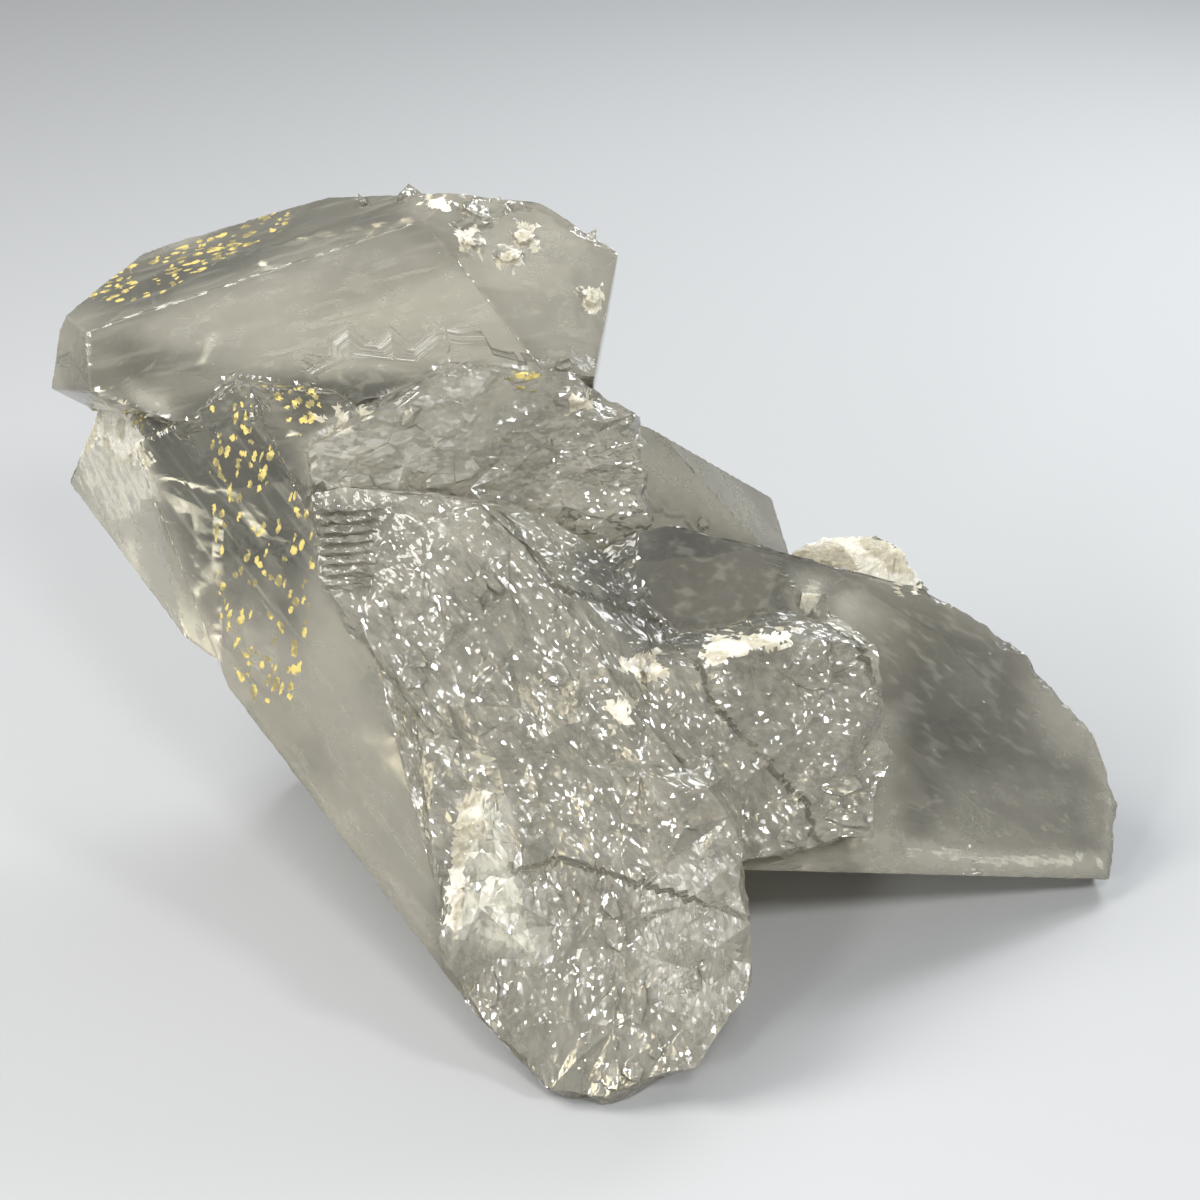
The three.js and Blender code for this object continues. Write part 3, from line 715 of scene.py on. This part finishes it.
def cloud_group():
    """Soft clouds and thin veils in the crystal: two sizes of noise, with ridges where one crosses 0.5."""
    make, given, out = group(
        "Clouds and veils", [("Place", "vector"), ("Scale", "value"), ("Veil Width", "value")],
        [("Cloud", "value"), ("Veil", "value")],
    )
    place, scale = given["Place"], given["Scale"]
    coarse = make.add("ShaderNodeTexNoise", Vector=place, Scale=scale, Detail=0.0)
    finer = make.sum("MULTIPLY", scale, 3.4)
    fine = make.add("ShaderNodeTexNoise", Vector=place, Scale=finer, Detail=1.0, Roughness=0.65)
    make.put(out["Cloud"], make.ramp(coarse.outputs["Fac"], 0.35, 0.68))
    off = make.sum("ABSOLUTE", make.sum("SUBTRACT", fine.outputs["Fac"], 0.5))
    make.put(out["Veil"], make.ramp(off, 0.0, given["Veil Width"], 1.0, 0.0))
    return make.tree


def glint_speck_group():
    """Small bright specks, partly painted glints: round the seats of Voronoi cells, in the share of the
    cells asked for.
    """
    make, given, out = group(
        "Bright specks and painted glints", [("Place", "vector"), ("Scale", "value"), ("Reach", "value"), ("Share", "value")],
        [("Glint Speck", "value")],
    )
    place, scale = given["Place"], given["Scale"]
    cells = make.add("ShaderNodeTexVoronoi", distance="MANHATTAN", Vector=place, Scale=scale).outputs
    chance = make.add("ShaderNodeSeparateColor", Color=cells["Color"]).outputs
    reach = make.sum("MULTIPLY", given["Reach"], make.sum("MULTIPLY_ADD", chance["Blue"], 1.0, 0.5))
    near = make.ramp(cells["Distance"], make.sum("MULTIPLY", reach, 0.7), reach, 1.0, 0.0)
    kept = make.sum("LESS_THAN", chance["Red"], given["Share"])
    make.put(out["Glint Speck"], make.sum("MULTIPLY", near, kept))
    return make.tree


def new_material(name):
    """A material, with short ways to add to its nodes, and its shader."""
    material = bpy.data.materials.new(name)
    material.use_nodes = True
    return material, Nodes(material.node_tree), material.node_tree.nodes["Principled BSDF"]


def put_relief(make, surface, height, settings):
    """Bends the shading by a height field, where a height of 1 is the set fine relief."""
    bump = make.add("ShaderNodeBump", Height=height, Strength=1.0, Distance=settings.bump_height)
    make.put(surface.inputs["Normal"], bump.outputs["Normal"])


def glass_material(settings, plates, clouds, crumbs):
    """Smoky quartz: see-through and absorbing, cream where cracked, and faceted where it grew fast."""
    material, make, surface = new_material("smoky quartz")
    end = material.node_tree.nodes["Material Output"]
    grain = make.attribute("grain", "Vector")
    place = make.add("ShaderNodeTexCoord").outputs["Object"]
    milk_and_rim_light, dark, spark = make.attribute("milk_and_rim_light"), make.attribute("dark"), make.attribute("spark")
    frost, arris = make.attribute("frost"), make.attribute("arris")
    stretched = make.vector("MULTIPLY", grain, (1 / PLATE_STRETCH, 1.0, 1.0))

    # Colour: clouds, mottles, streaks and veils, painted shade, bright specks that are partly painted
    # glints, and the pale of worn arrises, which is partly a painted highlight
    veiled = {"node_tree": clouds, "Place": place, "Scale": CLOUDS_PER_METRE, "Veil_Width": 0.02}
    cloud = make.add("ShaderNodeGroup", **veiled).outputs
    mottle = make.add(
        "ShaderNodeTexNoise", Vector=stretched, Scale=MOTTLES_PER_MM, Detail=2.0, Roughness=0.7
    ).outputs["Fac"]
    body = make.mix(cloud["Cloud"], settings.shade_colour[:], settings.body_colour[:])
    light = make.sum("MAXIMUM", make.sum("MULTIPLY", frost, 0.5), milk_and_rim_light)
    body = make.mix(light, body, settings.milk_and_highlight_colour[:])
    depth = make.sum("MULTIPLY_ADD", frost, 0.25, 0.05)
    depth = make.sum("MULTIPLY", make.ramp(mottle, 0.64, 0.36), depth)
    body = make.mix(depth, body, settings.deep_and_shade_colour[:])
    # Painted shade: the shade zones darken the colour towards the deep colour
    body = make.mix(make.sum("MULTIPLY", dark, 0.8), body, settings.deep_and_shade_colour[:])
    threads = make.vector("MULTIPLY", grain, THREADS_PER_MM)
    streak = make.add("ShaderNodeTexNoise", Vector=threads, Scale=1.0, Detail=1.0, Roughness=0.7)
    streak = make.ramp(streak.outputs["Fac"], 0.5, 0.72)
    streak = make.sum("MULTIPLY", streak, make.sum("MULTIPLY_ADD", milk_and_rim_light, 0.5, 0.3))
    veil = make.sum("MULTIPLY", cloud["Veil"], make.sum("MULTIPLY_ADD", milk_and_rim_light, 0.6, 0.08))
    milky = make.sum("MULTIPLY", milk_and_rim_light, make.ramp(mottle, 0.3, 0.7, 0.5, 0.9))
    # Pale along the arrises: partly wear, partly a painted highlight on the edges
    rim = make.sum("MULTIPLY", make.ramp(arris, 0.3, 1.0), make.ramp(mottle, 0.35, 0.6, 0.1, 0.6))
    pale = make.sum("MAXIMUM", make.sum("MAXIMUM", streak, veil), make.sum("MAXIMUM", milky, rim))
    colour = make.mix(pale, body, settings.milk_and_highlight_colour[:])
    # Bright specks, partly painted glints, thickest in the sparkly zones and in bunches
    fine = {"node_tree": crumbs, "Place": stretched, "Scale": GLINT_SPECKS_PER_MM, "Reach": 0.19}
    lively = make.ramp(cloud["Cloud"], 0.1, 0.8, 0.45, 1.15)
    share = make.sum("MULTIPLY", make.sum("MULTIPLY", spark, GLINT_SPECK_SHARE), lively)
    crumb = make.add("ShaderNodeGroup", **fine, Share=share).outputs["Glint Speck"]
    make.put(surface.inputs["Base Color"], make.mix(crumb, colour, settings.glint_speck_colour[:]))

    # Gloss: dull on frosted and milky places
    dull = make.sum("MULTIPLY_ADD", frost, FROST_DULLNESS, GLASS_DULLNESS)
    dull = make.sum("ADD", dull, make.sum("MULTIPLY", milk_and_rim_light, MILK_DULLNESS))
    dull = make.sum("ADD", dull, make.ramp(mottle, 0.45, 0.75, 0.0, 0.06))
    dull = make.sum("ADD", dull, make.sum("MULTIPLY", pale, 0.3))
    make.put(surface.inputs["Roughness"], dull)

    # Relief: small steep facets on the frosted skin, calmer in places, and broad low ones on the rest
    grown = make.sum("GREATER_THAN", frost, 0.5)
    slope = make.sum("MULTIPLY_ADD", grown, FACET_SLOPE - WAVER_SLOPE, WAVER_SLOPE)
    facets = {
        "Scale": make.sum("MULTIPLY_ADD", grown, FACET_SCALE - WAVER_SCALE, WAVER_SCALE),
        "Slope": make.sum("MULTIPLY", slope, lively),
        "Step": make.sum("MULTIPLY", grown, FACET_STEP),
    }
    relief = make.add("ShaderNodeGroup", node_tree=plates, Place=stretched, **facets).outputs["Height"]
    put_relief(make, surface, relief, settings)

    surface.inputs["IOR"].default_value = QUARTZ_IOR
    surface.inputs["Transmission Weight"].default_value = settings.clearness
    absorb = make.add("ShaderNodeVolumeAbsorption")
    absorb.inputs["Color"].default_value = settings.smoke_colour[:]
    absorb.inputs["Density"].default_value = settings.smoke_density
    make.put(end.inputs["Volume"], absorb.outputs["Volume"])
    return material


def let_glow(surface, share, settings):
    """Gives an opaque quartz its gloss, and lets a share of the light spread inside it."""
    surface.inputs["IOR"].default_value = QUARTZ_IOR
    surface.inputs["Subsurface Weight"].default_value = share
    surface.inputs["Subsurface Radius"].default_value = GLOW_SPREAD
    surface.inputs["Subsurface Scale"].default_value = settings.glow_depth


def milky_material(settings, plates, clouds, crumbs):
    """Milky quartz, full of healed cracks: pale with soft light in it, and grey towards its border."""
    material, make, surface = new_material("milky quartz")
    grain = make.attribute("grain", "Vector")
    place = make.add("ShaderNodeTexCoord").outputs["Object"]
    milk_and_rim_light = make.attribute("milk_and_rim_light")
    cloud = make.add("ShaderNodeGroup", node_tree=clouds, Place=place, Scale=130.0, Veil_Width=0.04).outputs
    stretched = make.vector("MULTIPLY", grain, (1 / PLATE_STRETCH, 1.0, 1.0))
    mottle = make.add("ShaderNodeTexNoise", Vector=stretched, Scale=0.7, Detail=5.0, Roughness=0.65)
    mottle = mottle.outputs["Fac"]
    pale = make.ramp(milk_and_rim_light, 0.3, 0.85, 0.25, 1.0)
    pale = make.sum("MULTIPLY", pale, make.ramp(mottle, 0.34, 0.58, 0.35, 1.0))
    pale = make.sum("MAXIMUM", pale, make.sum("MULTIPLY", cloud["Veil"], 0.9))
    colour = make.mix(pale, settings.cloudy_colour[:], settings.milky_colour[:])
    # Bright specks, partly painted glints
    fine = {"node_tree": crumbs, "Place": stretched, "Scale": 1.1, "Reach": 0.22, "Share": 0.1}
    crumb = make.add("ShaderNodeGroup", **fine).outputs["Glint Speck"]
    make.put(surface.inputs["Base Color"], make.mix(crumb, colour, settings.glint_speck_colour[:]))
    make.put(surface.inputs["Roughness"], make.ramp(mottle, 0.35, 0.65, 0.15, 0.4))
    relief = make.add("ShaderNodeGroup", node_tree=plates, Place=stretched, Scale=1.2, Slope=0.4, Step=0.1)
    put_relief(make, surface, relief.outputs["Height"], settings)
    let_glow(surface, 1.0, settings)
    return material


def crust_material(settings, plates, clouds, crumbs):
    """Cream crust of broken quartz: soft light in it, painted shade in its hollows, bright specks that are
    partly painted glints, a granular relief.
    """
    material, make, surface = new_material("cream crust")
    grain = make.attribute("grain", "Vector")
    place = make.add("ShaderNodeTexCoord").outputs["Object"]
    cloud = make.add("ShaderNodeGroup", node_tree=clouds, Place=place, Scale=240.0, Veil_Width=0.05).outputs
    grit = make.add("ShaderNodeTexNoise", Vector=grain, Scale=1.1, Detail=6.0, Roughness=0.7).outputs["Fac"]
    share = make.ramp(cloud["Cloud"], 0.0, 0.5)
    colour = make.mix(share, settings.body_colour[:], settings.crust_colour[:])
    # Painted shade: darker where the grit is low, which is where the relief has its hollows
    colour = make.mix(make.ramp(grit, 0.5, 0.3, 0.0, 0.5), colour, settings.shade_colour[:])
    # Bright specks, partly painted glints
    fine = {"node_tree": crumbs, "Place": grain, "Scale": 1.3, "Reach": 0.25, "Share": 0.18}
    crumb = make.add("ShaderNodeGroup", **fine).outputs["Glint Speck"]
    make.put(surface.inputs["Base Color"], make.mix(crumb, colour, settings.glint_speck_colour[:]))
    make.put(surface.inputs["Roughness"], make.ramp(grit, 0.3, 0.7, 0.5, 0.22))
    grains = make.add("ShaderNodeGroup", node_tree=plates, Place=grain, Scale=2.2, Slope=0.7, Step=0.3)
    height = make.sum("ADD", grains.outputs["Height"], make.sum("MULTIPLY", grit, 0.6))
    put_relief(make, surface, height, settings)
    let_glow(surface, 0.8, settings)
    return material


def fleck_material(settings):
    """Golden flecks: warm, half metallic flakes whose tone changes from one to the next."""
    material, make, surface = new_material("golden flecks")
    grain = make.attribute("grain", "Vector")
    tone = make.add("ShaderNodeTexNoise", Vector=grain, Scale=0.55, Detail=3.0).outputs["Fac"]
    make.put(surface.inputs["Base Color"], make.mix(
        make.ramp(tone, 0.42, 0.58), settings.dull_fleck_colour[:], settings.fleck_colour[:]
    ))
    make.put(surface.inputs["Roughness"], make.ramp(tone, 0.3, 0.7, 0.5, 0.3))
    put_relief(make, surface, tone, settings)
    surface.inputs["Metallic"].default_value = 0.25
    return material


def colour_setting(name, description, colour):
    """A colour that the user may change."""
    return FloatVectorProperty(
        name=name, description=description, subtype="COLOR", size=4, default=(*colour, 1), min=0, max=1
    )


class QuartzSettings(bpy.types.PropertyGroup):
    """Sizes and colours of the crystal skin."""

    rough_step: FloatProperty(
        name="Rough Step", description="Longest edge on the rough skin", default=1.35 * MM, unit="LENGTH"
    )
    plate_size: FloatProperty(
        name="Plate Size", description="Width of the broad plates", default=3.0 * MM, unit="LENGTH"
    )
    plate_slope: FloatProperty(name="Plate Slope", description="Steepest tilt of a plate", default=0.1)
    arris_wear: FloatProperty(
        name="Arris Wear", description="Depth worn off the sharp edges", default=0.2 * MM, unit="LENGTH"
    )
    bump_height: FloatProperty(
        name="Fine Relief", description="Height of the finest plates", default=0.5 * MM, unit="LENGTH"
    )
    clearness: FloatProperty(
        name="Clearness", description="Share of the light that goes in", default=0.75, min=0, max=1
    )
    glow_depth: FloatProperty(
        name="Glow Depth", description="How far light spreads in the crust", default=2.5 * MM, unit="LENGTH"
    )
    smoke_density: FloatProperty(name="Smoke", description="Absorption per metre", default=32.0, min=0)
    smoke_colour: colour_setting("Smoke Colour", "Colour that the smoke lets through", (0.64, 0.6, 0.5))
    body_colour: colour_setting("Body", "Colour of the cloudy quartz", (0.66, 0.63, 0.54))
    shade_colour: colour_setting("Shade", "Colour between the clouds", (0.42, 0.4, 0.335))
    # The deep colour is used for dark mottles and for the painted shade
    deep_and_shade_colour: colour_setting("Deep", "Colour of the clearest faces", (0.13, 0.135, 0.12))
    # The milk colour also paints the rim light and the highlight along the arrises
    milk_and_highlight_colour: colour_setting("Milk", "Colour of healed cracks", (0.85, 0.82, 0.7))
    cloudy_colour: colour_setting("Cloudy", "Colour of milky quartz at its border", (0.2, 0.195, 0.165))
    milky_colour: colour_setting("Milky", "Colour of milky quartz in its middle", (0.44, 0.425, 0.355))
    crust_colour: colour_setting("Crust", "Colour of the cream crust", (0.44, 0.405, 0.31))
    # Colour of the bright specks, which are partly painted glints
    glint_speck_colour: colour_setting("Crumbs", "Colour of the bright crumbs", (0.95, 0.94, 0.88))
    fleck_colour: colour_setting("Flecks", "Colour of the bright flecks", (0.66, 0.53, 0.17))
    dull_fleck_colour: colour_setting("Dull Flecks", "Colour of the dull flecks", (0.25, 0.21, 0.09))


class StageSettings(bpy.types.PropertyGroup):
    """Floor and light."""

    floor_colour: colour_setting("Floor", "Colour of the floor", (0.38, 0.385, 0.39))
    sky_strength: FloatProperty(name="Sky", description="Strength of the surroundings", default=0.46, min=0)
    key_power: FloatProperty(
        name="Key", description="Power of the main light", default=4.0, min=0, unit="POWER"
    )
    rim_power: FloatProperty(
        name="Rim", description="Power of the light behind", default=2.0, min=0, unit="POWER"
    )
    spark_power: FloatProperty(
        name="Sparkle", description="Power of each small light that the facets mirror", default=1.0, min=0,
        unit="POWER",
    )


class QUARTZ_OT_crystals(bpy.types.Operator):
    """Makes the crystal skin with its finishes, in place of the plain cluster"""

    bl_idname = "quartz.crystals"
    bl_label = "Quartz Crystals"

    def execute(self, context):
        settings = context.scene.quartz
        piece = bpy.data.objects.new("quartz_crystals", dressed_mesh(settings))
        context.scene.collection.objects.link(piece)
        groups = plates_group(), cloud_group(), glint_speck_group()
        piece.data.materials.append(glass_material(settings, *groups))
        piece.data.materials.append(fleck_material(settings))
        piece.data.materials.append(crust_material(settings, *groups))
        piece.data.materials.append(milky_material(settings, *groups))
        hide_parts(NODE)
        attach(piece, "root")
        return {"FINISHED"}


def area_light(name, place, size, power, colour=(1, 1, 1)):
    """A square light that points at the cluster, with its place and size in millimetres."""
    light = bpy.data.lights.new(name, "AREA")
    light.size = size * MM
    light.energy = power
    light.color = colour
    lamp = bpy.data.objects.new(name, light)
    lamp.location = Vector(place) * MM
    lamp.rotation_euler = (Vector(LIGHT_TARGET) - Vector(place)).to_track_quat("-Z", "Y").to_euler()
    bpy.context.scene.collection.objects.link(lamp)


class QUARTZ_OT_stage(bpy.types.Operator):
    """Makes the pale floor, the soft lights and the camera"""

    bl_idname = "quartz.stage"
    bl_label = "Stage"

    def execute(self, context):
        settings = context.scene.quartz_stage
        scene = context.scene
        floor_mesh = bpy.data.meshes.new("floor")
        half = FLOOR_SIZE / 2 * MM
        corners = [(-half, -half, -FLOOR_GAP * MM), (half, -half, -FLOOR_GAP * MM)]
        corners += [(half, half, -FLOOR_GAP * MM), (-half, half, -FLOOR_GAP * MM)]
        floor_mesh.from_pydata(corners, [], [(0, 1, 2, 3)])
        floor = bpy.data.objects.new("floor", floor_mesh)
        scene.collection.objects.link(floor)
        paper = bpy.data.materials.new("pale floor")
        paper.use_nodes = True
        surface = paper.node_tree.nodes["Principled BSDF"]
        surface.inputs["Base Color"].default_value = settings.floor_colour[:]
        surface.inputs["Roughness"].default_value = FLOOR_ROUGHNESS
        surface.inputs["Specular IOR Level"].default_value = 0.0
        floor_mesh.materials.append(paper)

        world = bpy.data.worlds.new("pale room")
        world.use_nodes = True
        sky = world.node_tree.nodes["Background"].inputs
        sky["Color"].default_value = SKY_COLOUR
        sky["Strength"].default_value = settings.sky_strength
        scene.world = world
        world.cycles.sampling_method = "NONE"
        scene.view_settings.view_transform = "Standard"
        scene.cycles.use_light_tree = False
        scene.cycles.max_bounces = BOUNCES
        area_light("key", KEY_AT, KEY_SIZE, settings.key_power, KEY_TINT)
        area_light("rim", RIM_AT, RIM_SIZE, settings.rim_power, RIM_TINT)
        for number, place in enumerate(SPARK_LIGHTS):
            area_light(f"sparkle {number}", place, SPARK_SIZE, settings.spark_power)

        lens = bpy.data.cameras.new("camera")
        lens.sensor_width = SENSOR
        lens.lens = SENSOR * FOCAL_PIXELS / PHOTO_SIZE
        camera = bpy.data.objects.new("camera", lens)
        camera.location = Vector(CAMERA_AT) * MM
        camera.rotation_euler = Vector(LOOK_AT - CAMERA_AT).to_track_quat("-Z", "Y").to_euler()
        scene.collection.objects.link(camera)
        scene.camera = camera
        return {"FINISHED"}


class QUARTZ_PT_panel(bpy.types.Panel):
    """The cluster's settings and its operators"""

    bl_label = "Quartz Cluster"
    bl_space_type = "VIEW_3D"
    bl_region_type = "UI"
    bl_category = "Quartz"

    def draw(self, context):
        for settings in (context.scene.quartz, context.scene.quartz_stage):
            for name in settings.__annotations__:
                self.layout.prop(settings, name)
        for operator in (QUARTZ_OT_crystals, QUARTZ_OT_stage):
            self.layout.operator(operator.bl_idname)


CLASSES = (QuartzSettings, StageSettings, QUARTZ_OT_crystals, QUARTZ_OT_stage, QUARTZ_PT_panel)


def register():
    """Registers the classes and hangs the settings on the scene."""
    for made in CLASSES:
        bpy.utils.register_class(made)
    bpy.types.Scene.quartz = PointerProperty(type=QuartzSettings)
    bpy.types.Scene.quartz_stage = PointerProperty(type=StageSettings)


def unregister():
    """Takes the settings and the classes away again."""
    del bpy.types.Scene.quartz_stage
    del bpy.types.Scene.quartz
    for made in reversed(CLASSES):
        bpy.utils.unregister_class(made)


def main():
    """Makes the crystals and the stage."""
    register()
    bpy.ops.quartz.crystals()
    bpy.ops.quartz.stage()


if __name__ == "__main__":
    main()
